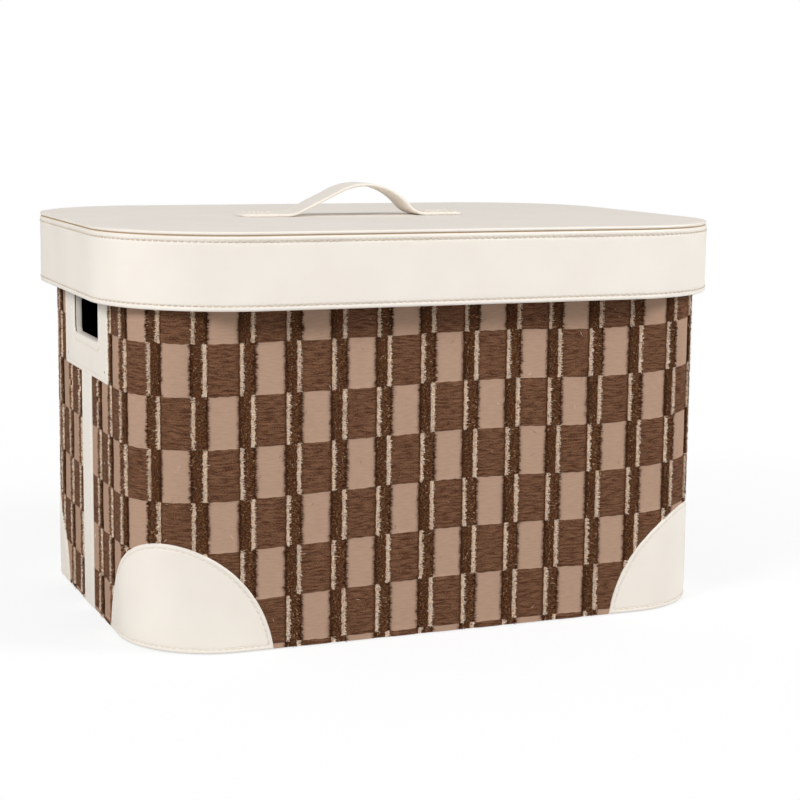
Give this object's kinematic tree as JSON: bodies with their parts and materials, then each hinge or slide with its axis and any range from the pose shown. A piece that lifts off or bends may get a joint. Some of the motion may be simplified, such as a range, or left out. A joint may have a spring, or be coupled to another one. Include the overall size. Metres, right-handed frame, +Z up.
{
  "type": "file storage box with lift-off lid",
  "caption": "Rectangular storage box for files: rounded board walls covered in woven check fabric, leatherette lift-off lid with strap, corner guards and hand holes.",
  "frame": {"origin": "on the floor under the middle of the box", "axes": "+X along the length of the box, with the front face towards -Y, and +Z up through the lid"},
  "size_m": [0.46, 0.34, 0.304],
  "materials": {
    "leatherette": "cream leatherette with a fine grain, satin",
    "check_fabric": "woven tan and brown checks with cut fringes",
    "board": "plain grey-brown paperboard",
    "lining_cloth": "matt black lining cloth",
    "thread": "cream sewing thread"
  },
  "bodies": {
    "box": {"wall_board_front": "board", "wall_board_rear": "board", "wall_board_left": "board", "wall_board_right": "board", "base_board": "board", "base_cover": "lining_cloth", "fabric_front": "check_fabric", "fabric_rear": "check_fabric", "wall_lining": "lining_cloth", "base_lining": "lining_cloth", "rim_binding": "leatherette", "corner_guard_front_left": "leatherette", "corner_guard_front_right": "leatherette", "corner_guard_rear_left": "leatherette", "corner_guard_rear_right": "leatherette", "seam_strip_left": "leatherette", "seam_strip_right": "leatherette", "handle_patch_left": "leatherette", "handle_patch_right": "leatherette", "handle_sleeve_left": "leatherette", "handle_sleeve_right": "leatherette"},
    "lid": {"lid_top_board": "board", "lid_skirt_board_front": "board", "lid_skirt_board_rear": "board", "lid_inner_card": "board", "lid_top_cover": "leatherette", "lid_skirt_cover": "leatherette", "lid_edge_welt": "leatherette", "lid_top_lining": "lining_cloth", "lid_skirt_lining": "lining_cloth", "strap_handle": "leatherette", "strap_backing_left": "leatherette", "strap_backing_right": "leatherette", "strap_stitching": "thread"}
  },
  "joints": [
    {"name": "lid_lift", "type": "slide", "parent": "box", "child": "lid", "axis": [0, 0, 1], "range_m": [0, 0.12]}
  ]
}
